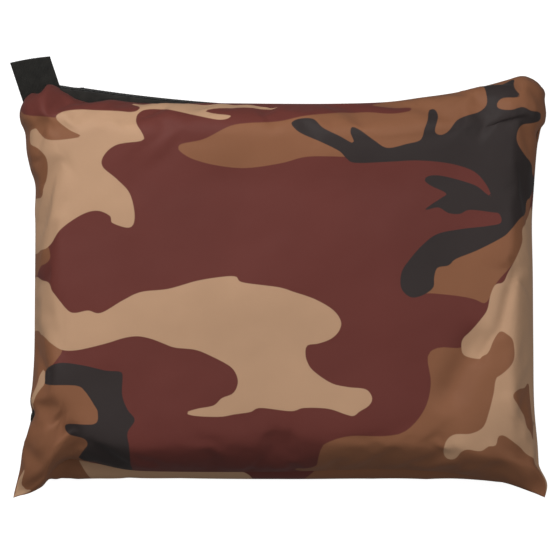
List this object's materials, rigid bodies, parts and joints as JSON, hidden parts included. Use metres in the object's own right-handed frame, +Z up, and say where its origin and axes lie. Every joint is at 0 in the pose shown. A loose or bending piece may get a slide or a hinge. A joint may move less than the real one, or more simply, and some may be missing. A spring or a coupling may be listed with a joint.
{
  "type": "insulated cooler bag",
  "caption": "Soft padded zip pouch with an insulated wall, corner ears and a webbing tab, lying on its back.",
  "frame": {"origin": "on the floor, under the middle of the bag's outline, with the bag lying on its back", "axes": "+Z up through the front panel, +Y from the bottom seam to the zip, +X to the right seen from the front"},
  "size_m": [0.3351, 0.2759, 0.062],
  "materials": {
    "camo_nylon": "satin woven nylon, four-colour camouflage",
    "foam": "matte closed-cell foam",
    "lining": "wipe-clean metallised film",
    "binding": "matte woven tape",
    "zip_tape": "matte knitted tape",
    "zip_coil": "satin nylon coil",
    "zip_metal": "black painted zinc",
    "webbing": "ribbed webbing",
    "thread": "sewing thread"
  },
  "bodies": {
    "shell": {"back_panel": "camo_nylon", "back_foam": "foam", "back_lining": "lining", "side_binding_left": "binding", "side_binding_right": "binding", "bottom_binding": "binding", "corner_ear_left": "camo_nylon", "corner_ear_right": "camo_nylon", "back_tape": "zip_tape", "back_coil": "zip_coil", "top_stop_back": "zip_metal", "bottom_stop": "zip_metal", "zip_end_tab_left": "zip_tape", "zip_end_tab_right": "zip_tape", "loop_anchor": "webbing", "loop_bartack": "thread"},
    "front": {"front_panel": "camo_nylon", "front_foam": "foam", "front_lining": "lining", "front_tape": "zip_tape", "front_coil": "zip_coil", "top_stop_front": "zip_metal"},
    "slider": {"slider_body": "zip_metal"},
    "pull": {"pull_tab": "zip_metal"},
    "loop": {"grab_loop": "webbing"}
  },
  "joints": [
    {"name": "mouth_open", "type": "hinge", "parent": "shell", "child": "front", "pos_m": [0, -0.12, 0.024], "axis": [1, 0, 0], "range_deg": [0, 18]},
    {"name": "zip_slide", "type": "hinge", "parent": "shell", "child": "slider", "pos_m": [0.0387, 1.168, 0.024], "axis": [0, 0, -1], "range_deg": [0, 13.2]},
    {"name": "pull_swing", "type": "hinge", "parent": "slider", "child": "pull", "pos_m": [0.13149, 0.11538, 0.024], "axis": [0, 0, 1], "range_deg": [0, 170]},
    {"name": "loop_flex", "type": "hinge", "parent": "shell", "child": "loop", "pos_m": [-0.1496, 0.1194, 0.0191], "axis": [0.9489, 0.3156, 0], "range_deg": [-35, 45], "stiffness_Nm_per_rad": 0.01}
  ],
  "couplings": [
    {"joint": "zip_slide", "follows": "mouth_open", "ratio": 0.7333}
  ]
}
